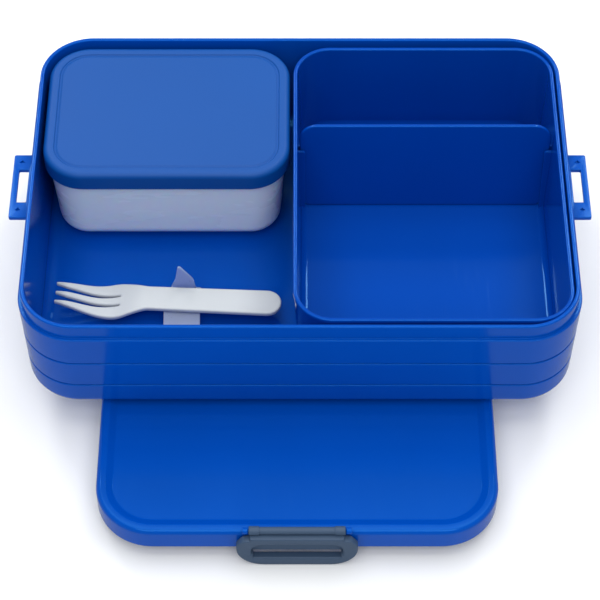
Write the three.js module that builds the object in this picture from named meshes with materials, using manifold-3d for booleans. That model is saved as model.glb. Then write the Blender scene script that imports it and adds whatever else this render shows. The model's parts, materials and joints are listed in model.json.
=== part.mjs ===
// Bento lunch box, opened: the outer box stands across its lid and holds a divided insert, a small lidded
// box and a fork. Millimetres, +Z up, origin under the middle of the whole group.
import * as THREE from 'three';
import { mergeVertices } from 'three/addons/utils/BufferGeometryUtils.js';
import Module from 'manifold-3d';

const wasm = await Module();
wasm.setup();

// ---- driving dimensions -------------------------------------------------------------------------

const gap = 0.3; // between pieces that rest on or pass each other
const cornerSteps = 7; // facets on each rounded corner

// Outer box. Insets are measured inwards from the outline of its banded wall.
const boxWidth = 237.6;
const boxDepth = 169.3;
const boxHeight = 54.4;
const boxCorner = 24.5;
const boxRimWall = 1.8;
const boxFloor = 2.4;
const boxOuterDraft = 1.2;
const boxInnerDraft = 2;
const boxFillet = 5;
const boxBackMargin = 4.9; // from the box's back to the lid's rear end, as it stands across the lid
const rimBandHeight = 7.4; // the inset band that the closed lid's skirt covers
const grooveDrops = [24.2, 40]; // below the rim
const grooveDepth = 0.7;
const grooveHeight = 1.1;

// Catch lugs on the box's short ends, which the lid's clips snap under.
const lugLength = 36;
const lugReach = 7.5;
const lugThickness = 2;
const lugSlotLength = 18.7;
const lugSlotStart = 0.5;
const lugOuterBar = 2.7;
const lugPitRadius = 1.2;
const lugPitDepth = 0.9;
const lugClearance = 0.4; // at each end, in a clip's opening

// Lid, which closes flush with the banded wall.
const lidHeight = 11.3;
const lidSkirtWall = 1.2;
const lidFit = 0.25;
const lidPlate = 1.6;
const lidPanelDrop = 1.5;
const lidRimWidth = 7.2;
const lidEdgeFillet = 2.2;
const lidShift = -1.2;
const sealThickness = 1.9;
const sealRoom = 2.2;
const sealGrooveWidth = 3.7;
const locatingRibWall = 1.4;
const locatingRibDrop = 4.4;

// Clips: each hangs from a barrel hinge on a short end of the lid.
const clipWidth = 50.6;
const clipThickness = 3.6;
const clipSideBar = 6.2;
const clipLowerBar = 5.5;
const clipCorner = 11.5;
const clipOpeningHeight = 10.2;
const clipWeb = 0.9; // closes the back of the opening above the lug
const clipSnap = 0.2;
const clipSkirtGap = 0.45;
const hingeOut = 0.3; // pivot beyond the skirt
const hingeRise = 1.9; // pivot above the lid
const barrelRadius = 1.6;
const knuckleRadius = 1.9;
const knuckleLength = 4.5;
const barrelLength = 40;
const pinRadius = 0.8;
const pinLength = 3;
const pinClearance = 0.3;
const bracketWidth = 2.4;
const bracketRadius = 1.35;
const clipNeckDrop = 1.2; // from the pivot to the top of the ring
const clipShoulderGap = 1.3; // below a bracket

// Divided insert on the right.
const insertWidth = 118;
const insertEndGap = 0.55;
const insertDepthGap = 2.75;
const insertRimDrop = 1.5;
const insertCorner = 17;
const insertWall = 1.4;
const insertLip = 0.5;
const insertDraft = 1.7;
const insertFillet = 3;
const insertFloor = 1.8;

// Divider plate, pushed down between two pairs of guide ribs, and leaning back a little.
const dividerThickness = 1.8;
const dividerLean = 6.5 * Math.PI / 180;
const dividerFoot = 25.6; // behind the insert's middle
const dividerRimDrop = 0.7;
const dividerCorner = 8;
const guideReach = 1.8;
const guideWidth = 1.5;
const guideRimDrop = 14;

// Small box and its push-on lid on the left.
const smallLidWidth = 109;
const smallLidDepth = 78.2;
const smallLidCorner = 18;
const smallLidHeight = 9.3;
const smallLidWall = 1.3;
const smallLidPlate = 1.6;
const smallLidRimDrop = 2.3;
const smallLidSideGap = 2;
const smallLidBackGap = 1.9;
const smallBoxFit = 0.3;
const smallBoxWall = 1.4;
const smallBoxDraft = 3;
const smallBoxFillet = 8;
const smallFootHeight = 1.2;
const smallFootInset = 16;

// Fork and the clear cradle under its handle.
const forkLength = 99.8;
const forkThickness = 2.3;
const forkHandleWidth = 13.2;
const forkHeadWidth = 19.1;
const forkTipWidth = 12.6;
const forkSlotWidth = 2.4; // at the mouth
const forkSlotRoot = 0.8;
const forkSlotDepth = 28.4;
const forkNeck = 41.5;
const forkRise = 1; // at the tips
const forkDip = 4.6; // of the head, below the handle
const forkFacet = 6; // longest edge of the bent surface
const forkTurn = -3 * Math.PI / 180;
const forkTips = { x: -107.9, y: -33 };
const forkStandoff = 7.8; // handle above the box floor
const cradleWidth = 16;
const cradleSheet = 1.3;
const cradleCentreX = -52;
const cradleFront = -59;
const fingerHeight = 16;

// ---- values that follow -------------------------------------------------------------------------

const rimInset = lidSkirtWall + lidFit;
const innerInset = rimInset + boxRimWall;
const ledgeHeight = boxHeight - rimBandHeight;
const clipDrop = lugThickness + clipSnap + gap + clipLowerBar; // clip's lower edge below the lid's skirt
const lidFloorZ = clipDrop;
const boxFloorZ = lidFloorZ + lidHeight + gap;
const boxBackset = boxWidth / 2 - boxBackMargin - boxDepth / 2; // behind the lid's middle
const hingeHeight = lidHeight + hingeRise;
const clipMiddle = clipSkirtGap + clipThickness / 2; // middle of its thickness, beyond the skirt
const innerHalfWidth = boxWidth / 2 - innerInset;
const innerHalfDepth = boxDepth / 2 - innerInset;
const insertDepth = 2 * (innerHalfDepth - insertDepthGap);
const insertHeight = boxHeight - boxFloor - gap - insertRimDrop;
const insertX = innerHalfWidth - insertEndGap - insertWidth / 2;
const insertInnerInset = insertLip + insertWall;
const smallLidX = -innerHalfWidth + smallLidSideGap + smallLidWidth / 2;
const smallLidY = innerHalfDepth - smallLidBackGap - smallLidDepth / 2;
const smallBoxInset = smallLidWall + smallBoxFit;
const smallBoxHeight = boxHeight - smallLidRimDrop - smallLidPlate - gap - boxFloor - gap;

// ---- materials ----------------------------------------------------------------------------------

const plastic = (color, roughness) => new THREE.MeshStandardMaterial({ color, roughness, metalness: 0 });
const gloss_blue = plastic(0x00429b, 0.2);
const insert_blue = plastic(0x00338c, 0.18);
const satin_blue = plastic(0x1f64b4, 0.45);
const clip_slate = plastic(0x40566e, 0.55);
const milk_white = plastic(0xb9c3d8, 0.35);
const fork_white = plastic(0xe1e3e5, 0.4);
const seal_grey = plastic(0xa9adb3, 0.7);
const clear_frost = plastic(0x9fb4d4, 0.3);

// ---- shape helpers ------------------------------------------------------------------------------

/** A closed solid from a three.js geometry, with equal points joined and flat triangles left out. */
function solid(geometry) {
  const bare = geometry.clone();
  bare.deleteAttribute('normal');
  bare.deleteAttribute('uv');
  const merged = mergeVertices(bare, 1e-4);
  const triangles = [];
  for (let i = 0; i < merged.index.count; i += 3) {
    const [a, b, c] = [0, 1, 2].map((k) => merged.index.getX(i + k));
    if (a !== b && b !== c && c !== a) triangles.push(a, b, c);
  }
  const vertProperties = Float32Array.from(merged.attributes.position.array);
  const triVerts = Uint32Array.from(triangles);
  return new wasm.Manifold(new wasm.Mesh({ numProp: 3, vertProperties, triVerts }));
}

/** The three.js geometry of a solid. */
function geometryOf(body) {
  const { vertProperties, triVerts } = body.getMesh();
  const geometry = new THREE.BufferGeometry();
  geometry.setAttribute('position', new THREE.BufferAttribute(vertProperties, 3));
  geometry.setIndex(new THREE.BufferAttribute(triVerts, 1));
  geometry.computeVertexNormals();
  return geometry;
}

/**
 * A lathe drawn out from a circle to a rounded rectangle. The profile is a list of [inset, z] points,
 * counter-clockwise with the inside on the left. An inset of null is on the axis.
 */
function drawnLathe(width, depth, corner, profile) {
  const radius = (inset) => Math.max(corner - inset, 0.8);
  const points = profile.map(([inset, z]) => new THREE.Vector2(inset === null ? 0 : radius(inset), z));
  const segments = 4 * cornerSteps;
  const step = 2 * Math.PI / segments;
  const geometry = new THREE.LatheGeometry(points, segments, step / 2);
  geometry.rotateX(Math.PI / 2);
  const position = geometry.attributes.position;
  for (let i = 0; i < position.count; i += 1) {
    const inset = profile[i % points.length][0];
    if (inset === null) continue;
    const x = position.getX(i) / Math.cos(step / 2);
    const y = position.getY(i) / Math.cos(step / 2);
    const straightX = width / 2 - inset - radius(inset);
    const straightY = depth / 2 - inset - radius(inset);
    position.setXY(i, x + Math.sign(x) * straightX, y + Math.sign(y) * straightY);
  }
  return solid(geometry);
}

/** Points of a quarter round from one angle to another, as [inset, z] about a centre. */
function arc(centreInset, centreZ, radius, from, to, steps = 3) {
  const points = [];
  for (let i = 0; i <= steps; i += 1) {
    const angle = (from + (to - from) * i / steps) * Math.PI / 180;
    points.push([centreInset - radius * Math.cos(angle), centreZ + radius * Math.sin(angle)]);
  }
  return points;
}

/** A block between two corners. */
function block(low, high) {
  const size = high.map((value, i) => value - low[i]);
  const geometry = new THREE.BoxGeometry(...size);
  geometry.translate(...low.map((value, i) => value + size[i] / 2));
  return solid(geometry);
}

/** A rod along Y through a point of the XZ plane. */
function rodAlongY(x, z, radius, fromY, toY, sides = 16) {
  const geometry = new THREE.CylinderGeometry(radius, radius, toY - fromY, sides);
  geometry.translate(x, (fromY + toY) / 2, z);
  return solid(geometry);
}

/** An upright round peg along Z. */
function peg(x, y, radius, fromZ, toZ, sides = 8) {
  const geometry = new THREE.CylinderGeometry(radius, radius, toZ - fromZ, sides);
  geometry.rotateX(Math.PI / 2);
  geometry.translate(x, y, (fromZ + toZ) / 2);
  return solid(geometry);
}

/** An outline in the XY plane, thickened along Z. */
function slab(shape, thickness, curveSegments = 6) {
  const settings = { depth: thickness, bevelEnabled: false, curveSegments };
  return new THREE.ExtrudeGeometry(shape, settings);
}

function named(name, body, material) {
  const mesh = new THREE.Mesh(geometryOf(body), material);
  mesh.name = name;
  return mesh;
}

// ---- outer box ----------------------------------------------------------------------------------

function boxGroove(drop) {
  const z = boxHeight - drop;
  const wall = boxOuterDraft * (1 - z / ledgeHeight);
  const half = grooveHeight / 2;
  const deep = wall + grooveDepth;
  return [[wall, z - half], [deep, z - half + 0.3], [deep, z + half], [wall, z + half]];
}

function boxShell() {
  const bottomInset = innerInset + boxInnerDraft;
  return drawnLathe(boxWidth, boxDepth, boxCorner, [
    [null, 0],
    ...arc(boxOuterDraft + boxFillet, boxFillet, boxFillet, -90, 0),
    ...boxGroove(grooveDrops[1]),
    ...boxGroove(grooveDrops[0]),
    [0, ledgeHeight - 0.5],
    [0.5, ledgeHeight],
    [rimInset, ledgeHeight],
    [rimInset, boxHeight - 0.5],
    [rimInset + 0.5, boxHeight],
    [innerInset - 0.5, boxHeight],
    [innerInset, boxHeight - 0.5],
    ...arc(bottomInset + boxFillet, boxFloor + boxFillet, boxFillet, 0, -90),
    [null, boxFloor],
  ]);
}

function lug(side) {
  const wallX = boxWidth / 2;
  const top = ledgeHeight;
  const bottom = top - lugThickness;
  const half = lugLength / 2;
  const ends = (a, b) => [Math.min(side * a, side * b), Math.max(side * a, side * b)];
  const [lowX, highX] = ends(wallX - rimInset, wallX + lugReach);
  const [slotLow, slotHigh] = ends(wallX + lugSlotStart, wallX + lugReach - lugOuterBar);
  const pitX = side * (wallX + lugReach / 2);
  const pitY = (half + lugSlotLength / 2) / 2;
  let body = block([lowX, -half, bottom], [highX, half, top]);
  const slotHalf = lugSlotLength / 2;
  body = body.subtract(block([slotLow, -slotHalf, bottom - 1], [slotHigh, slotHalf, top + 1]));
  for (const y of [-pitY, pitY]) {
    body = body.subtract(peg(pitX, y, lugPitRadius, top - lugPitDepth, top + 1, 6));
  }
  return body;
}

function boxBase() {
  const body = boxShell().add(lug(-1)).add(lug(1));
  return named('box_base', body, gloss_blue);
}

// ---- lid, its seal and its clips ----------------------------------------------------------------

const grooveCeiling = lidHeight - lidPlate;
const grooveInner = lidSkirtWall + sealGrooveWidth;
const panelTop = lidHeight - lidPanelDrop;
const panelUnder = panelTop - lidPlate;

function lidShell() {
  const ribInner = grooveInner + locatingRibWall;
  return drawnLathe(boxWidth, boxDepth, boxCorner, [
    [null, panelUnder],
    [ribInner, panelUnder],
    [ribInner, grooveCeiling - locatingRibDrop],
    [grooveInner, grooveCeiling - locatingRibDrop],
    [grooveInner, grooveCeiling],
    [lidSkirtWall + 0.4, grooveCeiling],
    [lidSkirtWall, grooveCeiling - 0.5],
    [lidSkirtWall, 0],
    [0.3, 0],
    [0, 0.3],
    ...arc(lidEdgeFillet, lidHeight - lidEdgeFillet, lidEdgeFillet, 0, 90),
    [grooveInner - 1, lidHeight],
    [grooveInner, lidHeight - 0.4],
    [ribInner, panelTop + 0.3],
    [lidRimWidth, panelTop],
    [null, panelTop],
  ]);
}

/** A bracket on the lid's edge, with a stub pin for the clip to turn on. */
function clipBracket(end, side) {
  const skirtX = end * boxWidth / 2;
  const axisX = skirtX + end * hingeOut;
  const near = side * (barrelLength / 2 + gap);
  const far = near + side * bracketWidth;
  const [lowY, highY] = [Math.min(near, far), Math.max(near, far)];
  const eye = rodAlongY(axisX, hingeHeight, bracketRadius, lowY, highY);
  const footEnds = [skirtX - end * 0.8, skirtX - end * lidEdgeFillet];
  const foot = block(
    [Math.min(...footEnds), lowY, lidHeight - 1.5],
    [Math.max(...footEnds), highY, lidHeight - 0.7],
  );
  const pinEnd = near - side * pinLength;
  const pin = rodAlongY(axisX, hingeHeight, pinRadius, Math.min(near, pinEnd), Math.max(near, pinEnd), 12);
  return wasm.Manifold.hull([eye, foot]).add(pin);
}

function lid() {
  let body = lidShell();
  for (const end of [-1, 1]) {
    body = body.add(clipBracket(end, -1));
    body = body.add(clipBracket(end, 1));
  }
  return named('lid', body, gloss_blue);
}

function lidSeal() {
  const inset = lidSkirtWall + gap;
  const inner = inset + sealGrooveWidth - 2 * gap;
  const low = grooveCeiling - sealRoom;
  const high = low + sealThickness;
  const ring = [[inner, low], [inset, low], [inset, high], [inner, high], [inner, low]];
  return named('lid_seal', drawnLathe(boxWidth, boxDepth, boxCorner, ring), seal_grey);
}

/** The clip's outline seen from outside, with z measured from the lid's skirt edge. */
function clipOutline() {
  const half = clipWidth / 2;
  const low = -clipDrop;
  const shoulder = hingeHeight - bracketRadius - clipShoulderGap;
  const neck = barrelLength / 2 - 0.4;
  const side = low + clipCorner;
  const outline = new THREE.Shape();
  outline.moveTo(-half + clipCorner, low);
  outline.absarc(half - clipCorner, side, clipCorner, -Math.PI / 2, 0);
  outline.bezierCurveTo(half, side + 4, neck + 4, shoulder, neck, shoulder);
  outline.lineTo(neck, hingeHeight - clipNeckDrop);
  outline.lineTo(-neck, hingeHeight - clipNeckDrop);
  outline.lineTo(-neck, shoulder);
  outline.bezierCurveTo(-neck - 4, shoulder, -half, side + 4, -half, side);
  outline.absarc(-half + clipCorner, side, clipCorner, Math.PI, 3 * Math.PI / 2);
  return outline;
}

function clipOpening() {
  const radius = clipOpeningHeight / 2;
  const reach = clipWidth / 2 - clipSideBar - radius;
  const middle = -clipDrop + clipLowerBar + radius;
  const hole = new THREE.Path();
  hole.moveTo(-reach, middle - radius);
  hole.absarc(reach, middle, radius, -Math.PI / 2, Math.PI / 2);
  hole.absarc(-reach, middle, radius, Math.PI / 2, 3 * Math.PI / 2);
  return hole;
}

/** The hinge barrel with its two thicker knuckles, each bored for a pin. */
function clipBarrel() {
  const half = barrelLength / 2;
  const inner = half - knuckleLength;
  const bore = half - pinLength - gap;
  return rodAlongY(0, hingeHeight, barrelRadius, -inner - 1, inner + 1)
    .add(rodAlongY(0, hingeHeight, knuckleRadius, -half, -inner))
    .add(rodAlongY(0, hingeHeight, knuckleRadius, inner, half))
    .subtract(rodAlongY(0, hingeHeight, pinRadius + pinClearance, -half - 1, -bore, 12))
    .subtract(rodAlongY(0, hingeHeight, pinRadius + pinClearance, bore, half + 1, 12));
}

/** A clip built about its pivot line, with its ring hanging outside the lid's skirt. */
function clip(end, name) {
  const outline = clipOutline();
  outline.holes.push(clipOpening());
  const plate = slab(outline, clipThickness, 7);
  plate.translate(0, 0, -clipThickness / 2);
  plate.rotateX(Math.PI / 2);
  plate.rotateZ(Math.PI / 2);
  plate.translate(end * (clipMiddle - hingeOut), 0, 0);
  const back = end * (clipSkirtGap - hingeOut);
  const webEnds = [back, back + end * clipWeb];
  const webHalf = clipWidth / 2 - clipSideBar;
  const webTop = -clipDrop + clipLowerBar + clipOpeningHeight + 0.5;
  const web = block([Math.min(...webEnds), -webHalf, 0], [Math.max(...webEnds), webHalf, webTop]);
  const half = barrelLength / 2;
  const eye = rodAlongY(0, hingeHeight, knuckleRadius - 0.2, half - pinLength - gap, half + 1);
  const otherEye = rodAlongY(0, hingeHeight, knuckleRadius - 0.2, -half - 1, -half + pinLength + gap);
  const slotHalf = lugLength / 2 + lugClearance;
  const slotDepth = 2 * clipThickness;
  const slotLow = -clipDrop + clipLowerBar;
  const slot = block([-slotDepth, -slotHalf, slotLow], [slotDepth, slotHalf, 0]);
  const ring = solid(plate).subtract(slot).subtract(eye).subtract(otherEye);
  const mesh = named(name, ring.add(web).add(clipBarrel()), clip_slate);
  mesh.position.x = end * (boxWidth / 2 + hingeOut);
  return mesh;
}

// ---- divided insert -----------------------------------------------------------------------------

function insertOutside() {
  const bottomInset = insertLip + insertDraft;
  const fillet = insertFillet + insertWall;
  return [
    [null, 0],
    ...arc(bottomInset + fillet, fillet, fillet, -90, 0),
    [insertLip, insertHeight - 2.2],
    [0, insertHeight - 2],
    [0, insertHeight - 0.6],
    [0.5, insertHeight],
  ];
}

function insertShell() {
  const bottomInset = insertInnerInset + insertDraft;
  return drawnLathe(insertWidth, insertDepth, insertCorner, [
    ...insertOutside(),
    [insertInnerInset - 0.5, insertHeight],
    [insertInnerInset, insertHeight - 0.5],
    ...arc(bottomInset + insertFillet, insertFloor + insertFillet, insertFillet, 0, -90),
    [null, insertFloor],
  ]);
}

/** Turns a solid built upright at the divider's foot to the divider's lean. */
function leaned(geometry) {
  geometry.rotateX(-dividerLean);
  geometry.translate(0, dividerFoot, insertFloor);
  return solid(geometry);
}

function guideRibs() {
  const height = insertHeight - insertFloor - guideRimDrop;
  const offset = dividerThickness / 2 + gap + guideWidth / 2;
  const length = insertInnerInset + insertDraft + guideReach;
  let ribs = null;
  for (const side of [-1, 1]) {
    for (const face of [-1, 1]) {
      const rib = new THREE.BoxGeometry(length, guideWidth, height + 2);
      rib.translate(side * (insertWidth / 2 - length / 2), face * offset, height / 2 - 1);
      const body = leaned(rib);
      ribs = ribs ? ribs.add(body) : body;
    }
  }
  return ribs;
}

function bentoInsert() {
  const filled = [...insertOutside(), [null, insertHeight]];
  const envelope = drawnLathe(insertWidth, insertDepth, insertCorner, filled);
  const body = insertShell().add(guideRibs().intersect(envelope));
  return named('bento_insert', body, insert_blue);
}

function dividerOutline() {
  const top = insertWidth / 2 - insertInnerInset - gap;
  const foot = top - insertDraft - gap;
  const height = (insertHeight - insertFloor - dividerRimDrop) / Math.cos(dividerLean);
  const outline = new THREE.Shape();
  outline.moveTo(-foot + insertFillet, gap);
  outline.lineTo(foot - insertFillet, gap);
  outline.lineTo(foot, insertFillet + gap);
  outline.lineTo(top - 0.5, height - dividerCorner);
  outline.quadraticCurveTo(top - 0.5, height, top - dividerCorner, height);
  outline.lineTo(-top + dividerCorner, height);
  outline.quadraticCurveTo(-top + 0.5, height, -top + 0.5, height - dividerCorner);
  outline.lineTo(-foot, insertFillet + gap);
  return outline;
}

function insertDivider() {
  const plate = slab(dividerOutline(), dividerThickness);
  plate.translate(0, 0, -dividerThickness / 2);
  plate.rotateX(Math.PI / 2);
  return named('insert_divider', leaned(plate), insert_blue);
}

// ---- small box ----------------------------------------------------------------------------------

function smallBox() {
  const edge = smallBoxInset;
  const wallInset = edge + smallBoxDraft;
  const foot = wallInset + smallFootInset;
  const inside = edge + smallBoxWall;
  const floor = smallFootHeight + smallBoxWall;
  const innerFillet = smallBoxFillet - smallBoxWall;
  const body = drawnLathe(smallLidWidth, smallLidDepth, smallLidCorner, [
    [null, smallFootHeight],
    [foot + smallBoxWall, smallFootHeight],
    [foot + smallBoxWall, 0],
    [foot, 0],
    [foot, smallFootHeight],
    ...arc(wallInset + smallBoxFillet, smallFootHeight + smallBoxFillet, smallBoxFillet, -88, 0, 5),
    [edge, smallBoxHeight - 0.4],
    [edge + 0.4, smallBoxHeight],
    [inside, smallBoxHeight],
    ...arc(inside + smallBoxDraft + innerFillet, floor + innerFillet, innerFillet, 0, -90, 5),
    [null, floor],
  ]);
  return named('small_box', body, milk_white);
}

function smallBoxLid() {
  const height = smallLidHeight;
  const under = height - smallLidPlate;
  const body = drawnLathe(smallLidWidth, smallLidDepth, smallLidCorner, [
    [null, under],
    [smallLidWall + 0.6, under],
    [smallLidWall, under - 0.6],
    [smallLidWall, 0],
    [0.3, 0],
    [0, 0.3],
    ...arc(2.2, height - 2.2, 2.2, 0, 90),
    [4.4, height],
    [5, height - 0.7],
    [5.6, height - 0.7],
    [6.2, height - 0.2],
    [null, height - 0.2],
  ]);
  return named('small_box_lid', body, satin_blue);
}

// ---- fork and cradle ----------------------------------------------------------------------------

function forkOutline() {
  const handle = forkHandleWidth / 2;
  const head = forkHeadWidth / 2;
  const tip = forkTipWidth / 2;
  const tine = (forkTipWidth - 2 * forkSlotWidth) / 3;
  const nose = 5; // from a tine's point to its full width
  const shoulder = forkSlotDepth - 2;
  const end = forkLength - 7.5;
  const outline = new THREE.Shape();
  outline.moveTo(nose, -tip);
  outline.quadraticCurveTo(shoulder - 8, -head, shoulder, -head);
  outline.bezierCurveTo(shoulder + 8, -head, forkNeck - 6, -handle + 0.8, forkNeck, -handle + 0.4);
  outline.lineTo(end, -handle);
  outline.bezierCurveTo(end + 4, -handle, forkLength, -3.4, forkLength, 0);
  outline.bezierCurveTo(forkLength, 3.4, end + 4, handle, end, handle);
  outline.lineTo(forkNeck, handle - 0.4);
  outline.bezierCurveTo(forkNeck - 6, handle - 0.8, shoulder + 8, head, shoulder, head);
  outline.quadraticCurveTo(shoulder - 8, head, nose, tip);
  for (const middle of [tine + forkSlotWidth, 0, -tine - forkSlotWidth]) {
    outline.quadraticCurveTo(1, middle + tine / 2 - 0.2, 0, middle + 0.3);
    outline.quadraticCurveTo(1, middle - tine / 2 + 0.2, nose, middle - tine / 2);
    if (middle < 0) break;
    const slot = middle - (tine + forkSlotWidth) / 2;
    outline.lineTo(forkSlotDepth, slot + forkSlotRoot / 2);
    outline.lineTo(forkSlotDepth, slot - forkSlotRoot / 2);
    outline.lineTo(nose, slot - forkSlotWidth / 2);
  }
  return outline;
}

function fork() {
  const flat = solid(slab(forkOutline(), forkThickness, 4)).refineToLength(forkFacet);
  const body = flat.warp((point) => {
    const along = Math.min(Math.max(point[0] / forkNeck, 0), 1);
    const dip = Math.sin(Math.PI * along) ** 2;
    point[2] += forkRise * (1 - along) ** 2 - forkDip * dip;
  });
  const mesh = named('fork', body, fork_white);
  mesh.position.set(forkTips.x, forkTips.y, boxFloor + forkStandoff);
  mesh.rotation.z = forkTurn;
  return mesh;
}

/** Where the fork's centre line crosses the cradle. */
const forkCrossing = forkTips.y + Math.tan(forkTurn) * (cradleCentreX - forkTips.x);

function cradleBand() {
  const high = forkStandoff - gap;
  const front = forkCrossing - forkHandleWidth / 2 + 1;
  const back = forkCrossing + forkHandleWidth / 2 + 2;
  const sheet = cradleSheet;
  const side = new THREE.Shape();
  side.moveTo(cradleFront, gap);
  side.lineTo(cradleFront + 3, gap);
  side.lineTo(front + 0.6, high - sheet);
  side.lineTo(back - sheet, high - sheet);
  side.lineTo(back - sheet, gap);
  side.lineTo(back + 4, gap);
  side.lineTo(back + 4, gap + sheet);
  side.lineTo(back, gap + sheet);
  side.lineTo(back, high);
  side.lineTo(front, high);
  side.lineTo(cradleFront + 2.2, gap + sheet);
  side.lineTo(cradleFront, gap + sheet);
  const band = slab(side, cradleWidth);
  band.translate(0, 0, -cradleWidth / 2);
  band.rotateX(Math.PI / 2);
  band.rotateZ(Math.PI / 2);
  return solid(band);
}

function cradleFinger() {
  const half = cradleWidth / 2 - 2;
  const low = forkStandoff - gap - 2;
  const back = forkCrossing + forkHandleWidth / 2 + 2;
  const finger = new THREE.Shape();
  finger.moveTo(-half, low);
  finger.lineTo(half, low);
  finger.quadraticCurveTo(half - 1, low + fingerHeight * 0.7, -1.5, low + 2 + fingerHeight);
  finger.quadraticCurveTo(-3, low + fingerHeight * 0.6, -half, low);
  const blade = slab(finger, cradleSheet);
  blade.rotateX(Math.PI / 2);
  blade.translate(0, back, 0);
  return solid(blade);
}

function forkCradle() {
  const mesh = named('fork_cradle', cradleBand().add(cradleFinger()), clear_frost);
  mesh.position.set(cradleCentreX, 0, boxFloor);
  return mesh;
}

// ---- assembly -----------------------------------------------------------------------------------

const lunchBox = new THREE.Group();

const lidGroup = new THREE.Group();
lidGroup.position.set(lidShift, 0, lidFloorZ);
lidGroup.rotation.z = Math.PI / 2;
lidGroup.add(lid(), lidSeal(), clip(-1, 'clip_front'), clip(1, 'clip_rear'));
lunchBox.add(lidGroup);

const boxGroup = new THREE.Group();
boxGroup.position.set(0, boxBackset, boxFloorZ);
boxGroup.add(boxBase(), fork(), forkCradle());
lunchBox.add(boxGroup);

const insertGroup = new THREE.Group();
insertGroup.position.set(insertX, 0, boxFloor + gap);
insertGroup.add(bentoInsert(), insertDivider());
boxGroup.add(insertGroup);

const smallGroup = new THREE.Group();
smallGroup.position.set(smallLidX, smallLidY, boxFloor + gap);
smallGroup.add(smallBox());
const smallLid = smallBoxLid();
smallLid.position.z = smallBoxHeight + gap + smallLidPlate - smallLidHeight;
smallGroup.add(smallLid);
boxGroup.add(smallGroup);

export default lunchBox;
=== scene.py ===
"""Bento lunch box: the finished look of an opened lunch box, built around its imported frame."""

import json
import math

import bmesh
import bpy
from mathutils import Euler, Matrix, Vector


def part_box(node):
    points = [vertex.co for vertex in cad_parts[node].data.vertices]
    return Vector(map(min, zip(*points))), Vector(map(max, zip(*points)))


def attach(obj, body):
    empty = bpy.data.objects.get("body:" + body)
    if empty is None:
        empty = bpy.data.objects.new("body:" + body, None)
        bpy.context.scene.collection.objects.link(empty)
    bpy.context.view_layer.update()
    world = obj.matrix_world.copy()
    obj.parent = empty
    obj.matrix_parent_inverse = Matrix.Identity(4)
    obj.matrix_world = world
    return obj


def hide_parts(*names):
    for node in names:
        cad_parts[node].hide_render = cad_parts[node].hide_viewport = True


bl_info = {
    "name": "Bento Lunch Box",
    "version": (1, 0, 0),
    "blender": (4, 5, 0),
    "location": "3D View > Sidebar > Lunch Box",
    "description": "Builds the mouldings, finishes and studio of an opened bento lunch box",
    "category": "Add Mesh",
}

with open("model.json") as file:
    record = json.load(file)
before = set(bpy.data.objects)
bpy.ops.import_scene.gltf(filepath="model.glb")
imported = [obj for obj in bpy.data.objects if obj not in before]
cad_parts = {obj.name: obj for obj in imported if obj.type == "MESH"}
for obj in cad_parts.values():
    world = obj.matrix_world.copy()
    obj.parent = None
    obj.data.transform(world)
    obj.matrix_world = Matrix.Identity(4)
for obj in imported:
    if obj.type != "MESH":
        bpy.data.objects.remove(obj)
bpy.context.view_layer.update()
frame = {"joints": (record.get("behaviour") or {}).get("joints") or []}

FIT = 0.3  # gap between pieces that rest on each other, in millimetres
MM = 0.001  # shapes are drawn in millimetres and brought to metres as they are placed
LID_TURN = math.radians(90)  # the lid lies across the box
SHARP_EDGE = math.radians(38)  # edges that bend more than this stay sharp
SHELL_END = 20.0  # innermost inset of the outer box's and the lid's profiles
TRAY_END = 15.0  # innermost inset of the insert's and the small lid's profiles


# ---- places and sizes read from the frame --------------------------------------------------------

def seat(node):
    """The middle of a node's underside, in metres."""
    low, high = (Vector(corner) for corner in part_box(node))
    return Vector(((low.x + high.x) / 2, (low.y + high.y) / 2, low.z))


def extent(node):
    """A node's width, depth and height, in millimetres."""
    low, high = (Vector(corner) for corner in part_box(node))
    return (high - low) / MM


def joint(name):
    """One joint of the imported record."""
    return next(each for each in frame["joints"] if each["name"] == name)


class LunchBoxSizes(bpy.types.PropertyGroup):
    """Sizes that set the look of the mouldings."""

    corner_radius: bpy.props.FloatProperty(
        name="Box Corner", description="Plan radius of the outer box and lid corners",
        default=0.0245, unit="LENGTH")
    insert_corner: bpy.props.FloatProperty(
        name="Insert Corner", description="Plan radius of the insert's rim",
        default=0.017, unit="LENGTH")
    small_corner: bpy.props.FloatProperty(
        name="Small Box Corner", description="Plan radius of the small box's lid",
        default=0.018, unit="LENGTH")
    lug_reach: bpy.props.FloatProperty(
        name="Lug Reach", description="How far a catch lug stands out of the end wall",
        default=0.0075, unit="LENGTH")
    corner_steps: bpy.props.IntProperty(
        name="Corner Steps", description="Facets on each rounded corner",
        default=18, min=4, max=40)


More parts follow.
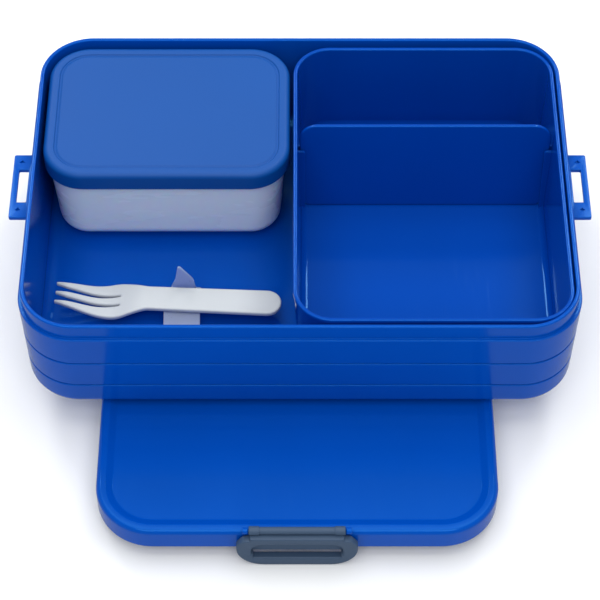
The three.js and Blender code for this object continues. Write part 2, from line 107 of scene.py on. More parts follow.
class LunchBoxFinishes(bpy.types.PropertyGroup):
    """Colours of the plastics."""

    gloss_blue: bpy.props.FloatVectorProperty(
        name="Gloss Blue", description="Outer box and lid", subtype="COLOR", size=3,
        default=(0.0, 0.062, 0.40))
    insert_blue: bpy.props.FloatVectorProperty(
        name="Insert Blue", description="Insert and its divider", subtype="COLOR", size=3,
        default=(0.0, 0.050, 0.36))
    satin_blue: bpy.props.FloatVectorProperty(
        name="Satin Blue", description="Small box's lid", subtype="COLOR", size=3,
        default=(0.0, 0.068, 0.31))
    clip_slate: bpy.props.FloatVectorProperty(
        name="Clip Slate", description="Clips", subtype="COLOR", size=3,
        default=(0.045, 0.078, 0.135))
    milk_white: bpy.props.FloatVectorProperty(
        name="Milk White", description="Small box", subtype="COLOR", size=3,
        default=(0.86, 0.89, 0.94))
    fork_white: bpy.props.FloatVectorProperty(
        name="Fork White", description="Fork", subtype="COLOR", size=3,
        default=(0.55, 0.575, 0.58))
    seal_grey: bpy.props.FloatVectorProperty(
        name="Seal Grey", description="Seal in the lid", subtype="COLOR", size=3,
        default=(0.40, 0.42, 0.45))
    frost: bpy.props.FloatVectorProperty(
        name="Frost", description="Clear stand under the fork", subtype="COLOR", size=3,
        default=(0.62, 0.72, 0.92))


# ---- material language ---------------------------------------------------------------------------

class Value:
    """A number socket of a material, with arithmetic that adds Math nodes."""

    def __init__(self, finish, socket):
        self.finish = finish
        self.socket = socket

    def math(self, operation, first, second=0.0):
        return self.finish.node("ShaderNodeMath", {"operation": operation}, [first, second])

    def __add__(self, other):
        return self.math("ADD", self, other)

    def __sub__(self, other):
        return self.math("SUBTRACT", self, other)

    def __rsub__(self, other):
        return self.math("SUBTRACT", other, self)

    def __mul__(self, other):
        return self.math("MULTIPLY", self, other)

    __radd__ = __add__
    __rmul__ = __mul__

    def above(self, edge, width):
        """0 below edge - width and 1 above edge + width."""
        settings = {"interpolation_type": "SMOOTHSTEP"}
        return self.finish.node("ShaderNodeMapRange", settings, [self, edge - width, edge + width])


class Finish:
    """A node material, and the method that adds nodes to it."""

    def __init__(self, name):
        self.material = bpy.data.materials.new(name)
        self.material.use_nodes = True
        self.tree = self.material.node_tree
        self.shader = self.tree.nodes["Principled BSDF"]

    def node(self, kind, settings=None, values=(), output=0):
        """Adds a node. Settings go first, then a value or a link for each first or named socket."""
        made = self.tree.nodes.new(kind)
        for key, value in (settings or {}).items():
            setattr(made, key, value)
        for slot, value in values.items() if isinstance(values, dict) else enumerate(values):
            self.feed(made.inputs[slot], value)
        return Value(self, made.outputs[output])

    def feed(self, socket, value):
        if isinstance(value, Value):
            self.tree.links.new(value.socket, socket)
        elif value is not None:
            socket.default_value = value

    def place(self, stretch=(1, 1, 1)):
        """Object coordinates, stretched along each axis."""
        at = self.node("ShaderNodeTexCoord", output=3)
        return self.node("ShaderNodeMapping", None, [at, None, None, stretch])

    def noise(self, scale, detail=2.0, stretch=(1, 1, 1)):
        """Even noise from 0 to 1, with scale in waves per metre."""
        return self.node("ShaderNodeTexNoise", None, [self.place(stretch), None, scale, detail])

    def blend(self, amount, one, other):
        """A mix of two colours."""
        sockets = {0: amount, 6: one, 7: other}
        return self.node("ShaderNodeMix", {"data_type": "RGBA"}, sockets, output=2)

    def relief(self, height, strength, distance):
        """Links a bumped normal."""
        sockets = {"Strength": strength, "Distance": distance, "Height": height}
        self.set(Normal=self.node("ShaderNodeBump", None, sockets))

    def set(self, **values):
        """Sets or links the shader's own sockets by name."""
        for name, value in values.items():
            self.feed(self.shader.inputs[name.replace("_", " ")], value)


def rgba(colour, gain=1.0):
    return (*(min(channel * gain, 1.0) for channel in colour), 1.0)


GLOSS_TINT = (0.12, 0.55, 1.0, 1.0)
GLOSS_WAVE = 0.05


def moulded_gloss(name, colour, roughness):
    """Polished moulding: faint flow clouds, hairline scuffs and a slow waviness in the gloss."""
    finish = Finish(name)
    clouds = finish.noise(22.0, 3.0, (1, 0.4, 1))
    scuffs = finish.noise(900.0, 2.0, (1, 0.04, 1)).above(0.66, 0.05)
    peel = finish.noise(700.0, 1.0)
    slow = finish.noise(34.0, 1.0)
    finish.set(
        Base_Color=finish.blend(clouds, rgba(colour, 0.93), rgba(colour, 1.07)),
        Roughness=clouds * 0.05 + scuffs * 0.08 + roughness,
        IOR=1.49)
    finish.shader.inputs["Specular IOR Level"].default_value = 0.5
    finish.shader.inputs["Specular Tint"].default_value = GLOSS_TINT
    finish.relief(slow * GLOSS_WAVE + peel * 0.004, 0.35, 0.002)
    return finish.material


def moulded_satin(name, colour, roughness, grain=0.05):
    """Fine spark-eroded texture, slightly polished by handling."""
    finish = Finish(name)
    grains = finish.noise(2600.0, 2.0)
    clouds = finish.noise(18.0, 3.0)
    finish.set(
        Base_Color=finish.blend(clouds * 0.7 + grains * 0.3, rgba(colour, 0.92), rgba(colour, 1.08)),
        Roughness=clouds * 0.08 + grains * 0.06 + roughness)
    finish.shader.inputs["Specular IOR Level"].default_value = 0.25
    finish.relief(grains, grain, 0.0006)
    return finish.material


def milky(name, colour):
    """Milky wall that lets a little light through."""
    finish = Finish(name)
    clouds = finish.noise(26.0, 3.0)
    flow = finish.noise(120.0, 2.0, (0.2, 1, 1))
    finish.set(
        Base_Color=finish.blend(clouds * 0.6 + flow * 0.4, rgba(colour, 0.95), rgba(colour, 1.05)),
        Roughness=flow * 0.06 + 0.24)
    finish.shader.inputs["Subsurface Weight"].default_value = 0.5
    finish.shader.inputs["Subsurface Scale"].default_value = 0.004
    finish.shader.inputs["Specular IOR Level"].default_value = 0.4
    finish.relief(flow, 0.1, 0.0008)
    return finish.material


def frosted(name, colour):
    """Clear plastic with a frosted skin."""
    finish = Finish(name)
    skin = finish.noise(1500.0, 2.0)
    clouds = finish.noise(90.0, 2.0)
    finish.set(
        Base_Color=finish.blend(clouds, rgba(colour, 0.95), rgba(colour, 1.05)),
        Roughness=clouds * 0.15 + skin * 0.08 + 0.2)
    finish.shader.inputs["Transmission Weight"].default_value = 0.7
    finish.shader.inputs["IOR"].default_value = 1.3
    finish.relief(skin, 0.15, 0.0004)
    return finish.material


def soft_rubber(name, colour):
    """Silicone with a powdery skin."""
    finish = Finish(name)
    dust = finish.noise(1800.0, 3.0)
    finish.set(
        Base_Color=finish.blend(dust, rgba(colour, 0.9), rgba(colour, 1.1)),
        Roughness=dust * 0.15 + 0.6)
    finish.relief(dust, 0.12, 0.0004)
    return finish.material


# ---- shape helpers -------------------------------------------------------------------------------

def rounded(corners, steps=6, closed=False):
    """A path of points from (x, y, radius) corners, where crowded arcs shrink to share their edge."""
    count = len(corners)
    points = [Vector(corner[:2]) for corner in corners]
    edges = [points[(i + 1) % count] - points[i] for i in range(count)]
    reaches = []
    for i, (_, _, radius) in enumerate(corners):
        inner = closed or 0 < i < count - 1
        half = edges[i - 1].angle(edges[i]) / 2 if inner else 0
        reaches.append(radius * math.tan(half))
    path = []
    for i, at in enumerate(points):
        after = (i + 1) % count
        room = [edges[i - 1].length / max(reaches[i - 1] + reaches[i], 1e-9),
                edges[i].length / max(reaches[i] + reaches[after], 1e-9), 1]
        reach = reaches[i] * min(room) * 0.999
        if reach < 1e-3:
            path.append(at)
            continue
        back, ahead = -edges[i - 1].normalized(), edges[i].normalized()
        half = back.angle(ahead) / 2
        middle = at + (back + ahead).normalized() * (reach / math.cos(half))
        start, end = at + back * reach - middle, at + ahead * reach - middle
        sweep = start.angle_signed(end)
        for step in range(steps + 1):
            path.append(middle + start @ Matrix.Rotation(sweep * step / steps, 2))
    return [tuple(point) for point in path]


def circle(x, y, radius, steps=24):
    turns = [2 * math.pi * i / steps for i in range(steps)]
    return [(x + radius * math.cos(turn), y + radius * math.sin(turn)) for turn in turns]


def evaluated(obj):
    """The plain mesh of an object with its modifiers, or of a curve. The object is removed."""
    graph = bpy.context.evaluated_depsgraph_get()
    mesh = bpy.data.meshes.new_from_object(obj.evaluated_get(graph), depsgraph=graph)
    data = obj.data
    bpy.data.objects.remove(obj)
    (bpy.data.curves if isinstance(data, bpy.types.Curve) else bpy.data.meshes).remove(data)
    return mesh


def linked(name, data):
    obj = bpy.data.objects.new(name, data)
    bpy.context.scene.collection.objects.link(obj)
    return obj


def mended(mesh, fill=False):
    """Joins doubles, closes open ends with flat faces and points every face outwards."""
    work = bmesh.new()
    work.from_mesh(mesh)
    bmesh.ops.remove_doubles(work, verts=work.verts, dist=0.002)
    if fill:
        bmesh.ops.holes_fill(work, edges=[edge for edge in work.edges if edge.is_boundary], sides=0)
    bmesh.ops.recalc_face_normals(work, faces=work.faces)
    work.to_mesh(mesh)
    work.free()
    return mesh


def flat_plate(outlines, thickness, edge_round):
    """A plate in the XY plane, cut to closed outlines one in another, with its edges rounded."""
    curve = bpy.data.curves.new("plate", "CURVE")
    curve.dimensions = "2D"
    curve.fill_mode = "BOTH"
    curve.extrude = thickness / 2 - edge_round
    curve.bevel_depth = edge_round
    curve.bevel_resolution = 2
    curve.offset = -edge_round
    for outline in outlines:
        spline = curve.splines.new("POLY")
        spline.points.add(len(outline) - 1)
        for point, (x, y) in zip(spline.points, outline):
            point.co = (x, y, 0, 1)
        spline.use_cyclic_u = True
    return mended(evaluated(linked("plate", curve)))


def shell_tree():
    """Geometry nodes that sweep a profile round a rounded rectangle."""
    existing = bpy.data.node_groups.get("Rounded Shell")
    if existing:
        return existing
    tree = bpy.data.node_groups.new("Rounded Shell", "GeometryNodeTree")
    face = tree.interface
    face.new_socket("Profile", in_out="INPUT", socket_type="NodeSocketGeometry")
    for label, default in (("Width", 100.0), ("Depth", 80.0), ("Corner Radius", 10.0)):
        face.new_socket(label, in_out="INPUT", socket_type="NodeSocketFloat").default_value = default
    face.new_socket("Corner Steps", in_out="INPUT", socket_type="NodeSocketInt").default_value = 12
    face.new_socket("Material", in_out="INPUT", socket_type="NodeSocketMaterial")
    face.new_socket("Shell", in_out="OUTPUT", socket_type="NodeSocketGeometry")

    def add(kind, **settings):
        node = tree.nodes.new(kind)
        for key, value in settings.items():
            setattr(node, key, value)
        return node

    group = add("NodeGroupInput")
    profile = add("GeometryNodeMeshToCurve")
    outline = add("GeometryNodeCurvePrimitiveQuadrilateral")
    fillet = add("GeometryNodeFilletCurve", mode="POLY")
    upright = add("GeometryNodeSetCurveNormal", mode="Z_UP")
    sweep = add("GeometryNodeCurveToMesh")
    realize = add("GeometryNodeRealizeInstances")
    paint = add("GeometryNodeSetMaterial")
    output = add("NodeGroupOutput")
    for source, target in (
        (group.outputs["Profile"], profile.inputs["Mesh"]),
        (group.outputs["Width"], outline.inputs["Width"]),
        (group.outputs["Depth"], outline.inputs["Height"]),
        (outline.outputs[0], fillet.inputs["Curve"]),
        (group.outputs["Corner Radius"], fillet.inputs["Radius"]),
        (group.outputs["Corner Steps"], fillet.inputs["Count"]),
        (fillet.outputs[0], upright.inputs["Curve"]),
        (upright.outputs[0], sweep.inputs["Curve"]),
        (profile.outputs[0], sweep.inputs["Profile Curve"]),
        (sweep.outputs[0], realize.inputs[0]),
        (realize.outputs[0], paint.inputs["Geometry"]),
        (group.outputs["Material"], paint.inputs["Material"]),
        (paint.outputs[0], output.inputs[0]),
    ):
        tree.links.new(source, target)
    return tree


def drawn_shell(profile, width, depth, corner, material, ring=False):
    """Sweeps (inset, height) points round a rounded rectangle. A ring's profile closes on itself."""
    steps = bpy.context.scene.lunch_box_sizes.corner_steps
    mesh = bpy.data.meshes.new("profile")
    points = [(-inset, -height, 0) for inset, height in profile]
    edges = [(i, i + 1) for i in range(len(points) - 1)]
    if ring:
        edges.append((len(points) - 1, 0))
    mesh.from_pydata(points, edges, [])
    obj = linked("profile", mesh)
    tree = shell_tree()
    modifier = obj.modifiers.new("Rounded Shell", "NODES")
    modifier.node_group = tree
    inputs = {"Width": width, "Depth": depth, "Corner Radius": corner, "Corner Steps": steps,
              "Material": material}
    for item in tree.interface.items_tree:
        if item.name in inputs:
            modifier[item.identifier] = inputs[item.name]
    return mended(evaluated(obj), fill=True)


def moved(mesh, offset=(0, 0, 0), turn=(0, 0, 0)):
    """The mesh turned about the origin by Euler angles, then moved."""
    mesh.transform(Matrix.Translation(offset) @ Euler(turn).to_matrix().to_4x4())
    return mesh


def cut(mesh, cutters):
    """The mesh with other closed meshes taken away from it."""
    obj = linked("cut", mesh)
    helpers = [linked("cutter", cutter) for cutter in cutters]
    for helper in helpers:
        modifier = obj.modifiers.new("Cut", "BOOLEAN")
        modifier.operation = "DIFFERENCE"
        modifier.solver = "EXACT"
        modifier.object = helper
    result = evaluated(obj)
    for helper in helpers:
        data = helper.data
        bpy.data.objects.remove(helper)
        bpy.data.meshes.remove(data)
    return result


def piece(name, meshes, material, place, turn=0.0):
    """Joins meshes drawn in millimetres into one finished object, with its place in its mesh."""
    work = bmesh.new()
    for mesh in meshes:
        work.from_mesh(mesh)
        bpy.data.meshes.remove(mesh)
    joined = bpy.data.meshes.new(name)
    work.to_mesh(joined)
    work.free()
    joined.transform(Matrix.Translation(place) @ Matrix.Rotation(turn, 4, "Z") @ Matrix.Scale(MM, 4))
    joined.materials.clear()
    joined.materials.append(material)
    joined.polygons.foreach_set("use_smooth", [True] * len(joined.polygons))
    joined.polygons.foreach_set("material_index", [0] * len(joined.polygons))
    joined.set_sharp_from_angle(angle=SHARP_EDGE)
    rough = linked(name, joined)
    even = rough.modifiers.new("Even Normals", "WEIGHTED_NORMAL")
    even.keep_sharp = True
    mesh = evaluated(rough)
    mesh.name = name
    return linked(name, mesh)


def fitted(obj, body, node):
    """The object rides on its body and stands for its CAD node."""
    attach(obj, body)
    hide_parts(node)


# ---- outer box -----------------------------------------------------------------------------------

RIM_INSET = 1.45
RIM_WALL = 1.8
RIM_BAND = 7.4
BOX_FLOOR = 2.4
OUTER_DRAFT = 1.2
INNER_DRAFT = 2.0
GROOVE_DROPS = (40.0, 24.2)
GROOVE_DEPTH = 0.7
GROOVE_HALF = 0.55
BOX_FILLET = 5.0
UNDER_RECESS = 0.7  # height of the hollow under the box
UNDER_EDGE = 12.5  # inset of the hollow's edge
LUG_LENGTH = 36.0
LUG_THICKNESS = 2.0
LUG_SLOT = (0.5, 4.8, 9.35)  # start, end and half length, from the end wall
PIT_RADII = (1.35, 0.75)  # at a point and between points
PIT_DEPTH = 1.0


def box_profile(height):
    ledge = height - RIM_BAND
    inner = RIM_INSET + RIM_WALL
    corners = [(SHELL_END, UNDER_RECESS, 0), (UNDER_EDGE, UNDER_RECESS, 0.4), (UNDER_EDGE - 0.9, 0, 0.4),
               (OUTER_DRAFT, 0, BOX_FILLET)]
    for drop in GROOVE_DROPS:
        z = height - drop
        wall = OUTER_DRAFT * (1 - z / ledge)
        corners += [(wall, z - GROOVE_HALF, 0.45), (wall + GROOVE_DEPTH, z - GROOVE_HALF + 0.2, 0.15),
                    (wall + GROOVE_DEPTH, z + GROOVE_HALF, 0.1), (wall, z + GROOVE_HALF, 0.2)]
    corners += [(0, ledge, 0.5), (RIM_INSET, ledge, 0.2), (RIM_INSET, height, 0.7), (inner, height, 0.7),
                (inner + INNER_DRAFT, BOX_FLOOR, BOX_FILLET + 0.2), (SHELL_END, BOX_FLOOR, 0)]
    return rounded(corners)


def lug(side, wall, top, reach):
    """A slotted catch lug, with a small moulding pit in each solid end."""
    half = LUG_LENGTH / 2
    start, end, slot_half = LUG_SLOT
    outline = rounded([(wall - 1.2, -half, 0), (wall + reach, -half, 0.9), (wall + reach, half, 0.9),
                       (wall - 1.2, half, 0)], closed=True)
    slot = rounded([(wall + start, -slot_half, 0.5), (wall + start, slot_half, 0.5),
                    (wall + end, slot_half, 0.5), (wall + end, -slot_half, 0.5)], closed=True)
    plate = flat_plate([outline, slot], LUG_THICKNESS, 0.3)
    pits = []
    for y in (-1, 1):
        x = wall + reach / 2
        middle = y * (half + slot_half) / 2
        star = []
        for i in range(12):
            radius = PIT_RADII[0 if i % 3 == 0 else 1]
            angle = math.radians(30 * i)
            star.append((x + radius * math.cos(angle), middle + radius * math.sin(angle)))
        pits.append(moved(flat_plate([star], 2 * PIT_DEPTH, 0.05), (0, 0, LUG_THICKNESS / 2)))
    plate = cut(plate, pits)
    turn = (0, 0, 0) if side > 0 else (0, 0, math.pi)
    return moved(moved(plate, (0, 0, 0), turn), (0, 0, top - LUG_THICKNESS / 2))


class LUNCHBOX_OT_outer_box(bpy.types.Operator):
    """Makes the outer box with its banded wall and catch lugs"""

    bl_idname = "lunchbox.outer_box"
    bl_label = "Outer Box"

    def execute(self, context):
        sizes = context.scene.lunch_box_sizes
        finish = moulded_gloss("gloss_blue", context.scene.lunch_box_finishes.gloss_blue, 0.10)
        width, depth, height = extent("box_base")
        reach = sizes.lug_reach / MM
        width -= 2 * reach
        shell = drawn_shell(box_profile(height), width, depth, sizes.corner_radius / MM, finish)
        lugs = [lug(side, width / 2, height - RIM_BAND, reach) for side in (-1, 1)]
        box = piece("outer_shell", [shell, *lugs], finish, seat("box_base"))
        fitted(box, "outer_box", "box_base")
        return {"FINISHED"}


# ---- lid, seal and clips -------------------------------------------------------------------------

LID_SKIRT = 1.2
LID_PLATE = 1.6
LID_PANEL_DROP = 1.5
LID_RIM = 7.2
LID_EDGE = 2.2
SEAL_GROOVE = 3.7
SEAL_GAP = 0.3
SEAL_HEIGHT = 1.9
SEAL_ROOM = 2.2
LOCATING_RIB = 1.4
LOCATING_DROP = 4.4
BARREL_RADIUS = 1.6
BARREL_HALF = 20.0
KNUCKLE_RADIUS = 1.9
KNUCKLE_LENGTH = 4.5
BRACKET_GAP = 0.3
BRACKET_WIDTH = 2.4
BRACKET_RADIUS = 1.35
CLIP_NECK_DROP = 1.2
CLIP_SHOULDER_GAP = 1.3
CLIP_SKIRT_GAP = 0.45
CLIP_THICKNESS = 3.6
CLIP_CORNER = 11.5
CLIP_SIDE_BAR = 6.2
CLIP_LOWER_BAR = 5.5
CLIP_OPENING = 10.2
CLIP_SLOT_HALF = 18.4
CLIP_SLOT_HEIGHT = 2.5
CLIP_WEB = 0.9


def lid_profile(height):
    ceiling = height - LID_PLATE
    groove = LID_SKIRT + SEAL_GROOVE
    rib = groove + LOCATING_RIB
    panel = height - LID_PANEL_DROP
    return rounded([
        (SHELL_END, panel - LID_PLATE, 0), (rib, panel - LID_PLATE, 0.5),
        (rib, ceiling - LOCATING_DROP, 0.5), (groove, ceiling - LOCATING_DROP, 0.5),
        (groove, ceiling, 0.2), (LID_SKIRT, ceiling, 0.4),
        (LID_SKIRT, 0, 0.4), (0, 0, 0.4), (0, height, LID_EDGE), (groove - 0.9, height, 1.6),
        (LID_RIM - 0.2, panel, 2.2), (SHELL_END, panel, 0)], 8)


def lid_bracket(end, side, pivot, half_length, height):
    """A bracket on the lid's edge that holds one end of a clip's barrel, drawn from its side."""
    out, rise = pivot
    foot = (-LID_EDGE - out, height - 1.6 - rise)
    tip = (-0.8 - out, height - 1.6 - rise)
    top = (-LID_EDGE - out, height - 0.6 - rise)
    r = BRACKET_RADIUS
    outline = rounded([(*foot, 0), (*tip, 0), (0.45, -r, 1.0), (r, -r * 0.7, 0.8), (r, r, r),
                       (-r * 0.6, r, r), (*top, 0.5)], closed=True)
    plate = flat_plate([outline], BRACKET_WIDTH, 0.35)
    moved(plate, (0, 0, 0), (math.pi / 2, 0, 0 if end > 0 else math.pi))
    along = side * (BARREL_HALF + BRACKET_GAP + BRACKET_WIDTH / 2)
    return moved(plate, (end * (half_length + out), along, rise))


class LUNCHBOX_OT_lid(bpy.types.Operator):
    """Makes the lid with its clip brackets, and the seal in its groove"""

    bl_idname = "lunchbox.lid"
    bl_label = "Lid and Seal"

    def execute(self, context):
        sizes = context.scene.lunch_box_sizes
        colours = context.scene.lunch_box_finishes
        finish = moulded_gloss("lid_blue", colours.gloss_blue, 0.10)
        corner = sizes.corner_radius / MM
        low, high = (Vector(point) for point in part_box("lid"))
        width = (high.x - low.x) / MM
        hinge = Vector(joint("clip_rear_hinge")["pos_m"])
        height = (seat("box_base").z - low.z) / MM - FIT
        base_width = extent("box_base").x - 2 * sizes.lug_reach / MM
        place = seat("lid")
        shell = drawn_shell(lid_profile(height), base_width, width, corner, finish)
        pivot = ((hinge.y - place.y) / MM - base_width / 2, (hinge.z - place.z) / MM)
        brackets = [lid_bracket(end, side, pivot, base_width / 2, height)
                    for end in (-1, 1) for side in (-1, 1)]
        lid = piece("lid_shell", [shell, *brackets], finish, place, LID_TURN)
        fitted(lid, "lid", "lid")

        rubber = soft_rubber("seal_grey", colours.seal_grey)
        near = LID_SKIRT + SEAL_GAP
        far = LID_SKIRT + SEAL_GROOVE - SEAL_GAP
        base = height - LID_PLATE - SEAL_ROOM
        section = rounded([(far, base, 0.4), (near, base, 0.4), (near, base + SEAL_HEIGHT, 0.4),
                           (far, base + SEAL_HEIGHT, 0.4)], 4, closed=True)
        ring = drawn_shell(section, base_width, width, corner, rubber, ring=True)
        seal = piece("seal_ring", [ring], rubber, place, LID_TURN)
        fitted(seal, "lid", "lid_seal")
        return {"FINISHED"}


def clip_outline(width, low):
    """The clip seen from outside, with heights from its pivot line."""
    half = width / 2
    side = low + CLIP_CORNER
    top = -CLIP_NECK_DROP
    shoulder = -BRACKET_RADIUS - CLIP_SHOULDER_GAP
    neck = BARREL_HALF - 0.4
    return rounded([
        (-half, low, CLIP_CORNER), (half, low, CLIP_CORNER), (half, side + 2.4, 4),
        (neck + 2.6, shoulder, 3), (neck, shoulder, 0.3), (neck, top, 0.6), (-neck, top, 0.6),
        (-neck, shoulder, 0.3), (-neck - 2.6, shoulder, 3), (-half, side + 2.4, 4)], 10, closed=True)


def clip_opening(width, low):
    """A long round-ended opening, with a straight slot for the lug across its lower part."""
    radius = CLIP_OPENING / 2
    reach = width / 2 - CLIP_SIDE_BAR
    slot = CLIP_SLOT_HALF
    bottom = low + CLIP_LOWER_BAR
    sill = bottom + CLIP_SLOT_HEIGHT
    top = bottom + CLIP_OPENING
    return rounded([(-slot, bottom, 0.6), (-slot, sill, 0.4), (-reach, sill, 0.5), (-reach, top, radius),
                    (reach, top, radius), (reach, sill, 0.5), (slot, sill, 0.4), (slot, bottom, 0.6)],
                   10, closed=True)


def clip_web(width, low):
    """The thin wall that closes the back of the opening above the lug."""
    half = width / 2 - CLIP_SIDE_BAR + 0.5
    sill = low + CLIP_LOWER_BAR + CLIP_SLOT_HEIGHT
    top = low + CLIP_LOWER_BAR + CLIP_OPENING + 1
    outline = [(-half, sill), (half, sill), (half, top), (-half, top)]
    return flat_plate([outline], CLIP_WEB, 0.2)


class LUNCHBOX_OT_clips(bpy.types.Operator):
    """Makes the two hinged clips"""

    bl_idname = "lunchbox.clips"
    bl_label = "Clips"

    def execute(self, context):
        finish = moulded_satin("clip_slate", context.scene.lunch_box_finishes.clip_slate, 0.38)
        half_lid = (extent("box_base").x - 2 * context.scene.lunch_box_sizes.lug_reach / MM) / 2
        for node in ("clip_front", "clip_rear"):
            hinge = Vector(joint(node + "_hinge")["pos_m"])
            low, high = (Vector(point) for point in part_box(node))
            end = 1 if hinge.y > 0 else -1
            out = abs(hinge.y) / MM - half_lid
            width = (high.x - low.x) / MM
            drop = (low.z - hinge.z) / MM
            outlines = [clip_outline(width, drop), clip_opening(width, drop)]
            plate = flat_plate(outlines, CLIP_THICKNESS, 0.8)
            middle = end * (CLIP_SKIRT_GAP + CLIP_THICKNESS / 2 - out)
            moved(plate, (0, middle, 0), (math.pi / 2, 0, 0))
            web = clip_web(width, drop)
            moved(web, (0, end * (CLIP_SKIRT_GAP + CLIP_WEB / 2 - out), 0), (math.pi / 2, 0, 0))
            rods = [flat_plate([circle(0, 0, BARREL_RADIUS)], 2 * BARREL_HALF - 1, 0.3)]
            for side in (-1, 1):
                knuckle = flat_plate([circle(0, 0, KNUCKLE_RADIUS)], KNUCKLE_LENGTH, 0.4)
                rods.append(moved(knuckle, (0, 0, side * (BARREL_HALF - KNUCKLE_LENGTH / 2))))
            for rod in rods:
                moved(rod, (0, 0, 0), (0, math.pi / 2, 0))
            clip = piece(node + "_ring", [plate, web, *rods], finish, hinge)
            fitted(clip, node, node)
        return {"FINISHED"}


# ---- divided insert ------------------------------------------------------------------------------

INSERT_LIP = 0.5
INSERT_WALL = 1.4
INSERT_DRAFT = 1.7
INSERT_FILLET = 3.2
INSERT_BEAD = 2.2  # height of the rim's bead
INSERT_FLOOR = 1.8
DIVIDER_THICKNESS = 1.8
DIVIDER_RIM_DROP = 0.7
DIVIDER_CORNER = 8.0
GUIDE_REACH = 1.8
GUIDE_WIDTH = 1.5
GUIDE_RIM_DROP = 14.0


def insert_profile(height):
    inner = INSERT_LIP + INSERT_WALL
    return rounded([
        (TRAY_END, 0.5, 0), (9, 0.5, 0.4), (8.3, 0, 0.3), (INSERT_LIP + INSERT_DRAFT, 0, 4.4),
        (INSERT_LIP, height - INSERT_BEAD, 0.2), (0, height - INSERT_BEAD + 0.3, 0.25),
        (0, height, 0.75), (inner, height, 0.75),
        (inner + INSERT_DRAFT, INSERT_FLOOR, INSERT_FILLET), (TRAY_END, INSERT_FLOOR, 0)])


def divider_axis():
    return Vector(joint("divider_lift")["axis"])


def leaning(mesh, foot):
    """Moves a plate drawn upright at the divider's foot to its lean and place."""
    axis = divider_axis()
    return moved(mesh, foot, (-math.atan2(axis.y, axis.z), 0, 0))


def guide_rib(side, face, width, height):
    """A guide rib grown out of the insert's end wall."""
    outer = INSERT_LIP + INSERT_WALL / 2
    inner = INSERT_LIP + INSERT_WALL + INSERT_DRAFT + GUIDE_REACH
    top = height - INSERT_FLOOR - GUIDE_RIM_DROP
    outline = rounded([(-inner, -0.4, 0), (-outer - INSERT_DRAFT, -0.4, 2.5), (-outer, top, 0.3),
                       (-inner, top, 1.2)], closed=True)
    rib = flat_plate([outline], GUIDE_WIDTH, 0.35)
    moved(rib, (width / 2, 0, 0), (math.pi / 2, 0, 0))
    if side < 0:
        moved(rib, (0, 0, 0), (0, 0, math.pi))
    return moved(rib, (0, face * (DIVIDER_THICKNESS / 2 + FIT + GUIDE_WIDTH / 2), 0))


def divider_outline(width, height):
    top = width / 2 - INSERT_LIP - INSERT_WALL - FIT - 0.2
    foot = top - INSERT_DRAFT - FIT
    return rounded([(-foot, FIT, 3.4), (foot, FIT, 3.4), (top, height, DIVIDER_CORNER),
                    (-top, height, DIVIDER_CORNER)], 8, closed=True)


class LUNCHBOX_OT_insert(bpy.types.Operator):
    """Makes the insert with its guide ribs, and the divider between them"""

    bl_idname = "lunchbox.insert"
    bl_label = "Insert and Divider"

    def execute(self, context):
        sizes = context.scene.lunch_box_sizes
        finish = moulded_gloss("insert_blue", context.scene.lunch_box_finishes.insert_blue, 0.08)
        width, depth, height = extent("bento_insert")
        place = seat("bento_insert")
        shell = drawn_shell(insert_profile(height), width, depth, sizes.insert_corner / MM, finish)
        axis = divider_axis()
        low, high = (Vector(point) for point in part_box("insert_divider"))
        back_reach = (high.z - low.z) * axis.y / axis.z
        foot_y = (low.y + high.y - back_reach) / 2
        foot = Vector((0, (foot_y - place.y) / MM, INSERT_FLOOR))
        ribs = [leaning(guide_rib(side, face, width, height), foot)
                for side in (-1, 1) for face in (-1, 1)]
        tray = piece("insert_tray", [shell, *ribs], finish, place)
        fitted(tray, "insert", "bento_insert")

        rise = (height - INSERT_FLOOR - DIVIDER_RIM_DROP) / axis.z
        plate = flat_plate([divider_outline(width, rise)], DIVIDER_THICKNESS, 0.6)
        moved(plate, (0, 0, 0), (math.pi / 2, 0, 0))
        divider = piece("divider_plate", [leaning(plate, foot)], finish, place)
        fitted(divider, "divider", "insert_divider")
        return {"FINISHED"}


# ---- small box -----------------------------------------------------------------------------------

SMALL_LID_WALL = 1.3
SMALL_LID_PLATE = 1.6
SMALL_WALL = 1.4
SMALL_DRAFT = 3.0
SMALL_FILLET = 8.0
SMALL_FOOT = 1.2
SMALL_FOOT_INSET = 16.0
TUB_END = 15.5


def tub_profile(height, foot):
    """The tub's wall and floor, as insets from the lid's outline."""
    edge = SMALL_LID_WALL + FIT
    wall = edge + SMALL_DRAFT
    inner = wall + SMALL_WALL
    return rounded([
        (TUB_END, foot, 0), (wall, foot, SMALL_FILLET), (edge, height, 0.5),
        (edge + SMALL_WALL, height, 0.5), (inner, foot + SMALL_WALL, SMALL_FILLET - SMALL_WALL),
        (TUB_END, foot + SMALL_WALL, 0)], 10)


def foot_profile(foot):
    return rounded([(SMALL_WALL, 0, 0.4), (0, 0, 0.4), (0, foot + 0.5, 0), (SMALL_WALL, foot + 0.5, 0)],
                   closed=True)


def cap_profile(height):
    under = height - SMALL_LID_PLATE
    return rounded([
        (TRAY_END, under, 0), (SMALL_LID_WALL, under, 0.6), (SMALL_LID_WALL, 0, 0.5), (0, 0, 0.5),
        (0, height, 2.6), (4.6, height, 0.5), (5.2, height - 0.75, 0.5), (6.4, height - 0.2, 0.6),
        (TRAY_END, height - 0.2, 0)], 8)


